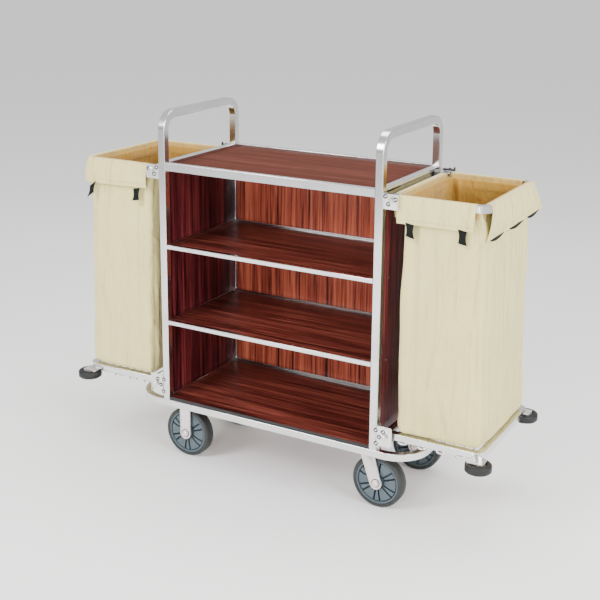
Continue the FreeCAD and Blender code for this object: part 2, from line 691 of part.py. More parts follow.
def fork(name, centre_x, leg_outline, crown):
    """Two legs with round feet, joined by the crown pieces above the wheel."""
    pieces = list(crown)
    for side, start in (("front", "leg_thickness - caster_y - fork_half"),
                        ("rear", "fork_half - caster_y")):
        pieces.append(padded(f"{name}_{side}_leg", "XZ_Plane", leg_outline, "leg_thickness",
                             ("0", start, "0")))
        pieces.append(cylinder(f"{name}_{side}_foot", "leg_half_width", "leg_thickness",
                               (centre_x, f"{start} - leg_thickness", "wheel_radius"), "y"))
    blank = fuse(name + "_blank", pieces)
    hole = cylinder(name + "_axle_hole", "axle_radius", "2 * wheel_width",
                    (centre_x, "-caster_y - wheel_width", "wheel_radius"), "y")
    return cut(name, blank, hole)


def top_plate(name, centre_x):
    """Caster top plate with its four bolts' heads below it."""
    blank = rounded_plate(name + "_blank", "XY_Plane", ("top_plate_length", "top_plate_width"),
                          "bracket_round", "top_plate_thickness", (centre_x, "-caster_y", "plate_low"))
    heads = []
    for k, (sx, sy) in enumerate((("-", "-"), ("-", "+"), ("+", "-"), ("+", "+"))):
        x = f"{centre_x} {sx} (top_plate_length / 2 - plate_bolt_inset)"
        y = f"-caster_y {sy} (top_plate_width / 2 - plate_bolt_inset)"
        heads.append(cylinder(f"{name}_bolt_{k}", "plate_bolt_radius", "plate_bolt_height",
                              (x, y, "plate_low - plate_bolt_height")))
    return blank, heads


def make_fixed_casters():
    x = "-fixed_x"
    plate, heads = top_plate("fixed_plate", x)
    crown = box("fixed_crown", ("2 * leg_half_width", "2 * fork_half", "leg_thickness"),
                (f"{x} - leg_half_width", "-caster_y - fork_half", "plate_low - leg_thickness"))
    outline = [(f"{x} - leg_half_width", "wheel_radius"), (f"{x} + leg_half_width", "wheel_radius"),
               (f"{x} + leg_half_width", "plate_low"), (f"{x} - leg_half_width", "plate_low")]
    fixed = fork("fixed_fork", x, outline, [crown, plate])
    keep("fixed_fork_front", fixed)
    keep("fixed_fork_rear", front_to_rear("fixed_fork_copy", fixed))
    pin = axle("fixed_axle", x)
    keep("fixed_axles", group("fixed_axle_pair", [pin, front_to_rear("fixed_axle_copy", pin)]))
    return heads


def make_swivel_casters():
    king_x = "swivel_x"
    wheel_x = "(swivel_x + swivel_trail)"
    plate, heads = top_plate("swivel_plate", king_x)
    race = cylinder("swivel_race", "race_radius", "race_height",
                    (king_x, "-caster_y", "plate_low - race_height"))
    plate_and_race = fuse("swivel_top", [plate, race])
    bore = cylinder("kingpin_seat", "kingpin_radius", "ring_top", (king_x, "-caster_y", "crown_low"))
    top = cut("swivel_top_front", plate_and_race, bore)
    keep("swivel_top_plates", group("swivel_tops", [top, front_to_rear("swivel_top_rear", top)]))

    head_top = "(crown_low - kingpin_drop)"
    king_head = cylinder("kingpin_head", "kingpin_head_radius", "kingpin_head_height",
                         (king_x, "-caster_y", f"{head_top} - kingpin_head_height"))
    king_shank = cylinder("kingpin_shank", "kingpin_radius", f"caster_height - {head_top}",
                          (king_x, "-caster_y", head_top))
    kingpin = fuse("kingpin", [king_head, king_shank])
    keep("swivel_kingpins", group("kingpins", [kingpin, front_to_rear("kingpin_rear", kingpin)]))

    cup = cylinder("fork_cup", "crown_radius", "crown_height", (king_x, "-caster_y", "crown_low"))
    deck = box("fork_deck", ("2 * leg_half_width + crown_flare", "2 * fork_half", "leg_thickness"),
               (f"{king_x} - leg_half_width", "-caster_y - fork_half", "crown_low"))
    crown_bore = cylinder("fork_bore", "kingpin_radius + kingpin_fit", "2 * crown_height",
                          (king_x, "-caster_y", "crown_low - crown_height / 2"))
    leg_top = "crown_low + leg_thickness"
    outline = [(f"{wheel_x} - leg_half_width", "wheel_radius"),
               (f"{wheel_x} + leg_half_width", "wheel_radius"),
               (f"{king_x} + leg_half_width + crown_flare", leg_top),
               (f"{king_x} - leg_half_width", leg_top)]
    blank = fork("swivel_fork_solid", wheel_x, outline, [cup, deck])
    swivel = cut("swivel_fork", blank, crown_bore)
    keep("swivel_fork_front", swivel)
    keep("swivel_fork_rear", front_to_rear("swivel_fork_copy", swivel))
    pin = axle("swivel_axle", wheel_x)
    keep("swivel_axle_front", pin)
    keep("swivel_axle_rear", front_to_rear("swivel_axle_copy", pin))
    return heads


def make_wheels():
    for side, x in (("left", "-fixed_x"), ("right", "swivel_x + swivel_trail")):
        centre = (x, "-caster_y", "wheel_radius")
        for part, maker in (("core", wheel_core), ("tread", wheel_tread)):
            item = maker(f"{side}_{part}", centre)
            keep(f"wheel_{part}_front_{side}", item)
            keep(f"wheel_{part}_rear_{side}", front_to_rear(f"{side}_{part}_rear", item))


def make_casters():
    heads = make_fixed_casters() + make_swivel_casters()
    rear = [front_to_rear(item.Name + "_rear", item) for item in heads]
    keep("caster_bolts", group("plate_bolts", heads + rear))
    make_wheels()


# ---------------------------------------------------------------- linen bags


def make_bags():
    """Open-topped bag that widens below the frame, with cuffs folded outward over the four tubes."""
    neck_height = "cuff_top + bag_wall - shoulder_z + bag_wall"
    outside = fuse("bag_outside", [
        box("neck_outside", ("bag_out_x - bag_in_x", "2 * bag_y", neck_height),
            ("bag_in_x", "-bag_y", "shoulder_z - bag_wall")),
        tapered("body_outside", ("bag_in_x", "foot_x", "foot_y"), ("bag_in_x", "shoulder_x", "shoulder_y"),
                "bag_low", "shoulder_z")])
    inside = fuse("bag_inside", [
        box("neck_inside", ("bag_out_x - bag_in_x - 2 * bag_wall", "2 * bag_y - 2 * bag_wall",
                            "2 * (" + neck_height + ")"),
            ("bag_in_x + bag_wall", "bag_wall - bag_y", "shoulder_z - 2 * bag_wall")),
        tapered("body_inside", ("bag_in_x + bag_wall", "foot_x - bag_wall", "foot_y - bag_wall"),
                ("bag_in_x + bag_wall", "shoulder_x - bag_wall", "shoulder_y - bag_wall"),
                "bag_low + bag_wall", "shoulder_z - bag_wall")])
    pieces = [cut("bag_shell", outside, inside)]

    front_length = "bag_out_x - cuff_end_notch - bag_in_x"
    flap = box("front_flap", (front_length, "cuff_out_y + bag_wall - bag_y", "bag_wall"),
               ("bag_in_x", "-cuff_out_y - bag_wall", "cuff_top"))
    drop = box("front_drop", (front_length, "bag_wall", "cuff_drop"),
               ("bag_in_x", "-cuff_out_y - bag_wall", "cuff_top + bag_wall - cuff_drop"))
    pieces += [flap, drop, front_to_rear("rear_flap", flap), front_to_rear("rear_drop", drop)]

    outer_half = "(frame_half_depth - corner_notch)"
    inner_half = "(frame_half_depth - hinge_notch)"
    pieces.append(box("outer_flap", ("cuff_out_x + bag_wall - bag_out_x", f"2 * {outer_half}", "bag_wall"),
                      ("bag_out_x", f"-{outer_half}", "cuff_top")))
    pieces.append(box("outer_drop", ("bag_wall", f"2 * {outer_half}", "cuff_drop"),
                      ("cuff_out_x", f"-{outer_half}", "cuff_top + bag_wall - cuff_drop")))
    pieces.append(box("inner_flap", ("bag_in_x - cuff_in_x + bag_wall", f"2 * {inner_half}", "bag_wall"),
                      ("cuff_in_x - bag_wall", f"-{inner_half}", "cuff_top")))
    pieces.append(box("inner_drop", ("bag_wall", f"2 * {inner_half}", "cuff_drop"),
                      ("cuff_in_x - bag_wall", f"-{inner_half}", "cuff_top + bag_wall - cuff_drop")))
    bag = fuse("bag", pieces)
    keep("linen_bag_right", bag)
    keep("linen_bag_left", right_to_left("bag_copy", bag))


def make_straps():
    """Short webbing tabs that hang from inside the cuffs' hems."""
    low = "cuff_top + bag_wall - cuff_drop - strap_height + strap_lap"
    straps = []
    for k, share in enumerate(("0.09", "0.86")):
        x = f"bag_in_x + {share} * (bag_out_x - bag_in_x)"
        front = box(f"front_strap_{k}", ("strap_width", "strap_thickness", "strap_height"),
                    (f"{x} - strap_width / 2", "side_gap - cuff_out_y", low))
        straps += [front, front_to_rear(f"rear_strap_{k}", front)]
    for k, share in enumerate(("-0.6", "0", "0.6")):
        y = f"{share} * (frame_half_depth - corner_notch)"
        straps.append(box(f"outer_strap_{k}", ("strap_thickness", "strap_width", "strap_height"),
                          ("cuff_out_x - side_gap - strap_thickness", f"{y} - strap_width / 2", low)))
        straps.append(box(f"inner_strap_{k}", ("strap_thickness", "strap_width", "strap_height"),
                          ("cuff_in_x + side_gap", f"{y} - strap_width / 2", low)))
    keep("bag_straps_right", group("straps", straps))
    copies = [right_to_left(item.Name + "_copy", item) for item in straps]
    keep("bag_straps_left", group("straps_copy", copies))


# ---------------------------------------------------------------- build, check and write

def write_nodes():
    doc.recompute()
    for item in doc.Objects:
        if "Invalid" in item.State or "Error" in item.State:
            raise RuntimeError(f"{item.Name} failed: {item.State}")
    os.makedirs("parts", exist_ok=True)
    for item in nodes:
        if item.Shape.isNull() or not item.Shape.isValid():
            raise RuntimeError(f"{item.Label} has no valid shape")
        if not item.Shape.Solids:
            raise RuntimeError(f"{item.Label} has no solid")
    for item in nodes:
        solids = item.Shape.Solids
        shape = solids[0] if len(solids) == 1 else Part.makeCompound(solids)
        shape.exportStep(f"parts/{item.Label}.step")
        print(f"{item.Label}: {len(solids)} solid(s), {shape.Volume / 1000:.1f} cm3")


make_base()
make_hoops()
make_rails()
make_boards()
make_panels()
make_frames()
make_hinges()
make_wires()
make_rollers()
make_casters()
make_bags()
make_straps()
write_nodes()
print(len(nodes), "nodes")
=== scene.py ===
import bpy
import bmesh
import json
import math
from mathutils import Matrix, Vector, noise


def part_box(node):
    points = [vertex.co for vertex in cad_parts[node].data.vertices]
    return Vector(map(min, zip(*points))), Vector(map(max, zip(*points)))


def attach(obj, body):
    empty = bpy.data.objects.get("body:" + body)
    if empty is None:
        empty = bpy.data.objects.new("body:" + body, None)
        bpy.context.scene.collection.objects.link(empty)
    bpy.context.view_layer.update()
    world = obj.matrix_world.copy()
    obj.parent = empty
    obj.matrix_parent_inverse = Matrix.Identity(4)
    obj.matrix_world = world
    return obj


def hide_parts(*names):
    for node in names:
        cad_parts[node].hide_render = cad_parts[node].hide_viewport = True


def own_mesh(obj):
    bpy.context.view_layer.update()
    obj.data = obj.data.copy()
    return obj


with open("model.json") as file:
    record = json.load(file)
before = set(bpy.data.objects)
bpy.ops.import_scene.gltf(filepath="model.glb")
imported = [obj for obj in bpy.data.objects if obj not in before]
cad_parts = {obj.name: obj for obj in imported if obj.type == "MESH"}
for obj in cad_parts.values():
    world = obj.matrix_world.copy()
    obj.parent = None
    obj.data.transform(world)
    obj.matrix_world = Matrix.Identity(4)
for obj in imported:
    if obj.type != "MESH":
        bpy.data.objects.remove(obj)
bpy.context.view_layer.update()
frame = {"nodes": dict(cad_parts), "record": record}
nodes = frame["nodes"]
bodyOf = {node: body for body, members in frame["record"]["behaviour"]["bodies"].items() for node in members}
slotOf = {row["node"]: row["material_slot"] for row in frame["record"]["subparts"]}
print("frame loaded:", len(nodes), "nodes")


class Value:
    def __init__(self, shader, socket):
        self.shader = shader
        self.socket = socket

    def math(self, operation, first, second):
        return self.shader.node("ShaderNodeMath", {"operation": operation}, {0: first, 1: second})

    def __add__(self, other):
        return self.math("ADD", self, other)

    __radd__ = __add__

    def __sub__(self, other):
        return self.math("SUBTRACT", self, other)

    def __rsub__(self, other):
        return self.math("SUBTRACT", other, self)

    def __mul__(self, other):
        return self.math("MULTIPLY", self, other)

    __rmul__ = __mul__

    def __abs__(self):
        return self.math("ABSOLUTE", self, 0)


class Shader:
    def __init__(self, name, **constants):
        self.material = bpy.data.materials.new(name)
        self.material.use_nodes = True
        self.tree = self.material.node_tree
        self.surface = self.tree.nodes["Principled BSDF"]
        for socket, value in constants.items():
            self.surface.inputs[socket.replace("_", " ")].default_value = value

    def node(self, kind, settings, inputs, output=0):
        made = self.tree.nodes.new(kind)
        for key, value in settings.items():
            if key == "stops":
                ramp = made.color_ramp
                while len(ramp.elements) < len(value):
                    ramp.elements.new(0.5)
                for element, (place, colour) in zip(ramp.elements, value):
                    element.position = place
                    element.color = (*colour, 1)
            else:
                setattr(made, key, value)
        for key, value in inputs.items():
            self.feed(made.inputs[key], value)
        return Value(self, made.outputs[output])

    def feed(self, socket, value):
        if isinstance(value, Value):
            self.tree.links.new(value.socket, socket)
        else:
            socket.default_value = value

    def objectSpace(self, stretch=(1, 1, 1)):
        place = self.node("ShaderNodeTexCoord", {}, {}, "Object")
        return self.node("ShaderNodeMapping", {}, {"Vector": place, "Scale": stretch})

    def clothSpace(self, stretch=(1, 1, 1)):
        place = self.node("ShaderNodeUVMap", {"uv_map": "cloth"}, {})
        return self.node("ShaderNodeMapping", {}, {"Vector": place, "Scale": stretch})

    def noise(self, place, scale, detail=2, rough=0.5, distortion=0):
        return self.node("ShaderNodeTexNoise", {}, {"Vector": place, "Scale": scale, "Detail": detail,
                                                    "Roughness": rough, "Distortion": distortion}, "Fac")

    def ramp(self, value, stops):
        return self.node("ShaderNodeValToRGB", {"stops": stops}, {"Fac": value})

    def mix(self, factor, first, second):
        made = self.tree.nodes.new("ShaderNodeMix")
        made.data_type = "RGBA"
        self.feed(made.inputs["Factor"], factor)
        for socket, value in ((made.inputs[6], first), (made.inputs[7], second)):
            self.feed(socket, value if isinstance(value, Value) else (*value, 1))
        return Value(self, made.outputs[2])

    def span(self, value, low, high, newLow, newHigh):
        return self.node("ShaderNodeMapRange", {}, {0: value, 1: low, 2: high, 3: newLow, 4: newHigh})

    def bump(self, height, strength, distance):
        normal = self.node("ShaderNodeBump", {}, {"Height": height, "Strength": strength,
                                                  "Distance": distance})
        self.feed(self.surface.inputs["Normal"], normal)

    def set(self, socket, value):
        self.feed(self.surface.inputs[socket], value)


def makeSteel(name, colour, roughLow, roughHigh, soot=0.12):
    s = Shader(name, Metallic=1.0)
    cloudy = s.noise(s.objectSpace(), 9, 3)
    fine = s.noise(s.objectSpace(), 420, 2)
    dull = tuple(c * (1 - soot) for c in colour)
    s.set("Base Color", s.mix(s.span(cloudy, 0.35, 0.7, 0, 1), colour, dull))
    s.set("Roughness", s.span(cloudy * 0.7 + fine * 0.3, 0.3, 0.7, roughLow, roughHigh))
    s.bump(fine, 0.05, 0.0004)
    return s.material


def makeLaminate(name, along, stops, finish):
    shine, gloss = finish
    s = Shader(name, Specular_IOR_Level=gloss)
    stretch = [46.0] * 3
    stretch["xyz".index(along)] = 1.1  # long thin streaks of grain along one axis
    warp = s.noise(s.objectSpace([c * 0.12 for c in stretch]), 1.6, 3)
    grain = s.noise(s.objectSpace(stretch), 2.2, 6, 0.66, 0.35)
    bands = s.noise(s.objectSpace([c * 0.28 for c in stretch]), 1.7, 3, 0.5, 0.6)
    pores = s.noise(s.objectSpace([c * 4 for c in stretch]), 2.5, 2)
    tone = grain * 0.68 + bands * 0.27 + warp * 0.05
    colour = s.ramp(tone, stops)
    s.set("Base Color", s.mix(s.span(pores, 0.56, 0.72, 0, 0.35), colour, [c * 0.35 for c in stops[0][1]]))
    s.set("Roughness", s.span(tone, 0.3, 0.7, shine, shine + 0.12))
    s.bump(tone + pores * 0.4, 0.08, 0.0006)
    return s.material


def makeRubber(name, colour, rough, dust):
    s = Shader(name, Specular_IOR_Level=0.45)
    worn = s.noise(s.objectSpace(), 26, 4)
    grain = s.noise(s.objectSpace(), 900, 2)
    s.set("Base Color", s.mix(s.span(worn, 0.4, 0.75, 0, dust), colour, [c * 1.6 + 0.02 for c in colour]))
    s.set("Roughness", s.span(worn, 0.3, 0.7, rough, rough + 0.18))
    s.bump(grain, 0.12, 0.0004)
    return s.material


def makePlastic(name, colour, rough):
    s = Shader(name, Specular_IOR_Level=0.5)
    blotch = s.noise(s.objectSpace(), 18, 3)
    grain = s.noise(s.objectSpace(), 700, 2)
    s.set("Base Color", s.mix(s.span(blotch, 0.35, 0.7, 0, 0.5), colour, [c * 0.78 for c in colour]))
    s.set("Roughness", s.span(blotch, 0.3, 0.7, rough, rough + 0.12))
    s.bump(grain, 0.1, 0.0003)
    return s.material


def makeCanvas(name, outside, insideShade):
    s = Shader(name, Specular_IOR_Level=0.25, Sheen_Weight=0.25, Sheen_Roughness=0.5)
    s.surface.inputs["Sheen Tint"].default_value = (1, 0.95, 0.82, 1)
    warp = s.node("ShaderNodeTexWave", {"bands_direction": "X"}, {"Vector": s.clothSpace(), "Scale": 420})
    weft = s.node("ShaderNodeTexWave", {"bands_direction": "Y"}, {"Vector": s.clothSpace(), "Scale": 420})
    slub = s.noise(s.clothSpace((6, 90, 1)), 9, 3)
    slubAcross = s.noise(s.clothSpace((90, 6, 1)), 9, 3)
    stain = s.noise(s.objectSpace(), 5.5, 4, 0.55)
    patch = s.noise(s.objectSpace((1, 1, 0.5)), 2.2, 2)
    within = s.node("ShaderNodeAttribute", {"attribute_name": "within"}, {}, "Fac")  # 1 on the inside, whose colour is painted shade and painted light shining through the cloth
    stitch = s.node("ShaderNodeAttribute", {"attribute_name": "stitch"}, {}, "Fac")
    base = s.mix(s.span(stain, 0.38, 0.72, 0, 0.55), outside, [c * 0.86 for c in outside])
    yellowed = (outside[0] * 0.98, outside[1] * 0.94, outside[2] * 0.80)
    base = s.mix(s.span(patch, 0.45, 0.7, 0, 0.35), base, yellowed)
    # the inside takes a darker golden colour as painted shade and painted light through the cloth
    base = s.mix(within, base, insideShade)
    threads = s.node("ShaderNodeTexWave", {"bands_direction": "X"}, {"Vector": s.clothSpace(), "Scale": 60})
    dashes = s.span(threads, 0.35, 0.5, 0, 1) * stitch
    base = s.mix(dashes * 0.55, base, [c * 0.62 for c in outside])
    base = s.mix(s.span(slub * 0.5 + slubAcross * 0.5, 0.45, 0.7, 0, 0.2), base, [c * 0.8 for c in outside])
    s.set("Roughness", s.span(stain, 0.3, 0.7, 0.68, 0.82))
    creases = 0  # thin ridges where slow noise crosses its middle value
    for stretch, offset, strength in (((7.5, 1.1, 1), 0.0, 1.0), ((4.2, 3.4, 1), 3.0, 0.6),
                                      ((13, 0.7, 1), 7.0, 0.6)):
        place = s.node("ShaderNodeMapping", {}, {"Vector": s.clothSpace(), "Scale": stretch,
                                                 "Location": (offset, offset, 0),
                                                 "Rotation": (0, 0, 0.12 * offset)})
        wave = s.noise(place, 1.0, 2, 0.5, 0.5)
        creases = creases + s.span(abs(wave - 0.5), 0.0, 0.06, strength, 0)
    rumple = s.noise(s.clothSpace((11, 5, 1)), 1.0, 3, 0.55, 0.8)
    # painted shade: the colour darkens along the crease lines
    base = s.mix(creases * 0.05, base, [c * 0.70 for c in outside])
    s.set("Base Color", base)
    folds = s.node("ShaderNodeBump", {}, {"Height": creases * 0.6 + rumple * 3.2, "Strength": 0.75,
                                          "Distance": 0.009})
    height = warp * 0.25 + weft * 0.25 + slub * 0.25 + slubAcross * 0.25 - stitch * 0.8 + dashes * 0.9
    s.set("Normal", s.node("ShaderNodeBump", {}, {"Height": height, "Strength": 0.35, "Distance": 0.0009,
                                                  "Normal": folds}))
    return s.material


def makeWebbing(name, colour):
    s = Shader(name, Specular_IOR_Level=0.15)
    ribs = s.node("ShaderNodeTexWave", {"bands_direction": "Y"}, {"Vector": s.clothSpace(), "Scale": 260})
    fuzz = s.noise(s.clothSpace(), 900, 2)
    s.set("Base Color", s.mix(ribs * 0.6, colour, [c * 1.6 for c in colour]))
    s.set("Roughness", s.span(fuzz, 0.3, 0.7, 0.6, 0.8))
    s.bump(ribs + fuzz * 0.3, 0.5, 0.0006)
    return s.material


looks = {
    "frame_tube": makeSteel("polishedTube", (0.74, 0.73, 0.73), 0.11, 0.22),
    "bright_wire": makeSteel("brightWire", (0.78, 0.77, 0.75), 0.12, 0.24),
    "zinc_steel": makeSteel("zincPressing", (0.86, 0.80, 0.78), 0.32, 0.46, 0.08),
    "bracket_plate": makeSteel("satinPlate", (0.82, 0.80, 0.79), 0.24, 0.38, 0.10),
    "edge_trim": makePlastic("edgeBand", (0.006, 0.006, 0.007), 0.45),
    "side_laminate": makeLaminate("sideLaminate", "z", [
        (0.40, (0.004, 0.001, 0.001)), (0.46, (0.050, 0.005, 0.009)), (0.52, (0.105, 0.014, 0.019)),
        (0.61, (0.270, 0.046, 0.042))], (0.34, 0.25)),
    "back_laminate": makeLaminate("backLaminate", "z", [
        (0.38, (0.020, 0.003, 0.003)), (0.43, (0.210, 0.036, 0.022)), (0.51, (0.430, 0.088, 0.048)),
        (0.62, (0.640, 0.175, 0.095))], (0.34, 0.25)),
    "shelf_laminate": makeLaminate("shelfLaminate", "x", [
        (0.39, (0.005, 0.001, 0.001)), (0.45, (0.055, 0.009, 0.007)), (0.52, (0.135, 0.027, 0.020)),
        (0.62, (0.340, 0.092, 0.064))], (0.30, 0.28)),
    "top_laminate": makeLaminate("topLaminate", "x", [
        (0.34, (0.044, 0.012, 0.008)), (0.48, (0.086, 0.026, 0.018)),
        (0.64, (0.135, 0.046, 0.033))], (0.62, 0.03)),
    "wheel_rubber": makeRubber("tyreRubber", (0.016, 0.020, 0.020), 0.46, 0.5),
    "wheel_plastic": makePlastic("wheelMoulding", (0.068, 0.095, 0.112), 0.36),
    "roller_rubber": makeRubber("rollerRubber", (0.005, 0.005, 0.006), 0.46, 0.12),
    # the second colour is the same cloth in painted shade and painted light through it, used on the inside
    "bag_canvas": makeCanvas("bagCanvas", (0.740, 0.650, 0.285), (0.430, 0.225, 0.026)),
    "strap_webbing": makeWebbing("strapWebbing", (0.004, 0.006, 0.005)),
}
creamTab = makeWebbing("creamTab", (0.52, 0.47, 0.28))
# black used as painted shade: flat discs stand in for the dark holes round the axle nuts and bracket bolts;
# it also colours the latch bars
holeShadeAndDarkBars = makePlastic("darkSocket", (0.01, 0.01, 0.01), 0.5)
print("materials ready")


def finishPiece(name, mesh, look, body, smooth=35):
    data = bpy.data.meshes.new(name)
    mesh.to_mesh(data)
    mesh.free()
    piece = bpy.data.objects.new(name, data)
    bpy.context.scene.collection.objects.link(piece)
    data.materials.append(look)
    data.shade_smooth()
    data.set_sharp_from_angle(angle=math.radians(smooth))
    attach(piece, body)
    return piece


def thicken(piece, thickness):
    layer = piece.modifiers.new("clothThickness", "SOLIDIFY")
    layer.thickness = thickness
    layer.offset = -1


def camelName(node):
    words = node.split("_")
    return words[0] + "".join(word.capitalize() for word in words[1:])


rounded = {"leastAngle": 38, "leastFace": 1.2, "segments": 2}


def softened(node, width):
    mesh = bmesh.new()  # a merged copy of the CAD node, whose outer edges are rounded
    mesh.from_mesh(nodes[node].data)
    bmesh.ops.remove_doubles(mesh, verts=mesh.verts, dist=0.00001)
    bmesh.ops.dissolve_limit(mesh, angle_limit=math.radians(0.6), verts=mesh.verts, edges=mesh.edges)
    bmesh.ops.dissolve_degenerate(mesh, dist=0.00001, edges=mesh.edges)
    weights = mesh.edges.layers.float.new("bevel_weight_edge")
    thin = {face: 2 * face.calc_area() / max(face.calc_perimeter(), 1e-9) for face in mesh.faces}
    for edge in mesh.edges:
        sharp = math.radians(rounded["leastAngle"])
        if len(edge.link_faces) == 2 and edge.is_convex and edge.calc_face_angle() > sharp:
            if min(thin[face] for face in edge.link_faces) > rounded["leastFace"] * width:
                edge[weights] = 1.0
    piece = finishPiece(camelName(node), mesh, looks[slotOf[node]], bodyOf[node])
    if width > 0:
        rounding = piece.modifiers.new("rounding", "BEVEL")
        rounding.width = width
        rounding.segments = rounded["segments"]
        rounding.limit_method = "WEIGHT"
        rounding.harden_normals = True
        rounding.use_clamp_overlap = False
    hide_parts(node)
    return piece


def box(mesh, low, high):
    size = [b - a for a, b in zip(low, high)]
    middle = [(a + b) / 2 for a, b in zip(low, high)]
    made = bmesh.ops.create_cube(mesh, size=1)["verts"]
    bmesh.ops.scale(mesh, vec=size, verts=made)
    bmesh.ops.translate(mesh, vec=middle, verts=made)
    return made


def prism(mesh, centre, axis, radius, depth, sides, radiusTop=None):
    turn = Vector(axis).to_track_quat("Z", "Y").to_matrix().to_4x4()
    place = Matrix.Translation(Vector(centre)) @ turn
    return bmesh.ops.create_cone(mesh, cap_ends=True, cap_tris=False, segments=sides, radius1=radius,
                                 radius2=radius if radiusTop is None else radiusTop, depth=depth,
                                 matrix=place)["verts"]


edgeRound = {"tube": 0.0032, "rail": 0.0022, "ring": 0.003, "plate": 0.0009, "board": 0.0007, "panel": 0.0006}
roundOf = {
    "base_ring": "ring", "end_hoop": "tube", "top_rails": "rail", "upper_shelf_rails": "rail",
    "lower_shelf_rails": "rail", "deck_rails": "rail", "bag_frame": "tube", "tray_frame": "tube",
    "caster_mount_plates": "plate", "board_ledges": "plate", "hinge_brackets": "plate",
    "swivel_top_plates": "plate", "roller_plates": "plate", "fixed_fork": "plate", "swivel_fork": "plate",
    "top_board": "board", "upper_shelf_board": "board", "lower_shelf_board": "board", "deck_board": "board",
    "side_panel": "panel", "back_panel": "panel", "deck_edge_strip": "panel",
}
plain = ("wheel_tread", "bumper_roller", "tray_wires", "hinge_spacers", "panel_screws", "swivel_kingpins",
         "roller_bolts", "caster_bolts", "hinge_pins", "fixed_axles", "swivel_axle")
for node in nodes:
    match = next((key for key in roundOf if node.startswith(key)), None)
    if match:
        softened(node, edgeRound[roundOf[match]])
    elif node.startswith(plain):
        softened(node, 0)
print("frame, boards and plates done")


wheelShape = {
    "hub": 0.022, "hubHalf": 0.026, "bore": 0.0061, "rimInner": 0.078, "rimOuter": 0.0851, "rimHalf": 0.0222,
    "webHalf": 0.003, "panelHalf": 0.0185, "panelInner": 0.0285, "panelOuter": 0.0745, "groove": 0.0072,
    "sectors": 6, "wideShare": 0.68, "steps": 72, "dish": 0.0022,
}


def wheelPanel(mesh, middle, halfAngle, side):
    w = wheelShape
    grid = bmesh.ops.create_grid(mesh, x_segments=8, y_segments=5, size=1)["verts"]
    for vert in grid:
        radius = w["panelInner"] + (w["panelOuter"] - w["panelInner"]) * (vert.co.y + 1) / 2
        half = max(halfAngle - w["groove"] / 2 / radius, 0.01)
        angle = middle + half * vert.co.x
        dish = w["dish"] * math.sin(math.pi * (vert.co.y + 1) / 2)
        vert.co = (radius * math.cos(angle), side * (w["panelHalf"] + dish), radius * math.sin(angle))
    faces = {face for vert in grid for face in vert.link_faces}
    grown = bmesh.ops.extrude_face_region(mesh, geom=list(faces))["geom"]
    deep = [v for v in grown if isinstance(v, bmesh.types.BMVert)]
    for vert in deep:
        vert.co.y = side * (w["webHalf"] - 0.001)


def makeWheelCore(node):
    w = wheelShape
    low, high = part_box(node)
    centre = (low + high) / 2
    mesh = bmesh.new()
    for side in (1, -1):  # hub, web and rim as one turned profile for each half
        points = [(w["bore"], w["hubHalf"]), (w["hub"] - 0.002, w["hubHalf"]),
                  (w["hub"], w["hubHalf"] - 0.002), (w["hub"] + 0.001, 0.013),
                  (w["hub"] + 0.003, w["webHalf"]), (w["rimInner"] - 0.003, w["webHalf"]),
                  (w["rimInner"] - 0.0008, 0.012), (w["rimInner"], w["rimHalf"] - 0.0015),
                  (w["rimInner"] + 0.001, w["rimHalf"]), (w["rimOuter"] - 0.001, w["rimHalf"]),
                  (w["rimOuter"], w["rimHalf"] - 0.0012), (w["rimOuter"], 0)]
        verts = [mesh.verts.new((radius, side * along, 0)) for radius, along in points]
        edges = [mesh.edges.new(pair) for pair in zip(verts, verts[1:])]
        bmesh.ops.spin(mesh, geom=verts + edges, cent=(0, 0, 0), axis=(0, 1, 0), angle=2 * math.pi,
                       steps=w["steps"], use_merge=True)
        for k in range(w["sectors"]):
            sector = 2 * math.pi / w["sectors"]
            wide = sector * w["wideShare"] / 2
            wheelPanel(mesh, k * sector, wide, side)
            wheelPanel(mesh, (k + 0.5) * sector, sector / 2 - wide, side)
    bmesh.ops.remove_doubles(mesh, verts=mesh.verts, dist=0.00002)
    bmesh.ops.recalc_face_normals(mesh, faces=mesh.faces)
    bmesh.ops.translate(mesh, vec=centre, verts=mesh.verts)
    piece = finishPiece(camelName(node), mesh, looks["wheel_plastic"], bodyOf[node], 30)
    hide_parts(node)
    return centre


wheelCentres = {node: makeWheelCore(node) for node in sorted(nodes) if node.startswith("wheel_core")}
print("wheels done")


nutShape = {"ring": 0.01664, "ringDeep": 0.0008, "across": 0.0105, "deep": 0.007, "gap": 0.0001}


def hexBolt(mesh, centre, axis, size, deep):
    out = Vector(axis)
    at = Vector(centre)
    prism(mesh, at + out * 0.0008, axis, size * 1.28, 0.0016, 28)
    prism(mesh, at + out * (0.0016 + deep / 2), axis, size, deep, 6)
    prism(mesh, at + out * (0.0016 + deep + 0.0007), axis, size * 0.86, 0.0014, 24, size * 0.62)


def makeAxleNuts():
    n = nutShape
    for node, centre in wheelCentres.items():
        side = "right" if "right" in node else "left"
        end = "front" if "front" in node else "rear"
        body = "cart" if side == "left" else "swivel_fork_body_" + end
        mesh, rings = bmesh.new(), bmesh.new()
        for facing in (1, -1):
            at = centre + Vector((0, facing * (forkLip["legOut"] + n["gap"]), 0))
            hexBolt(mesh, at, (0, facing, 0), n["across"], n["deep"])
            # a thin black disc round each nut is painted shade of a socket round it
            middle = at + Vector((0, facing * n["ringDeep"] / 2, 0))
            prism(rings, middle, (0, facing, 0), n["ring"], n["ringDeep"], 28)
        for made in (mesh, rings):
            bmesh.ops.recalc_face_normals(made, faces=made.faces)
        place = end.capitalize() + side.capitalize()
        finishPiece("axleRings" + place, rings, holeShadeAndDarkBars, body, 25)
        finishPiece("axleNuts" + place, mesh, looks["zinc_steel"], body, 25)


forkLip = {
    "wide": 0.0032, "tall": 0.0035, "sink": 0.0004, "legHalf": 0.024, "legOut": 0.033, "short": 0.006,
    "swivelHead": (-0.043, 0.224), "fixedHead": (0, 0.244), "round": 0.0009, "steps": 20,
}


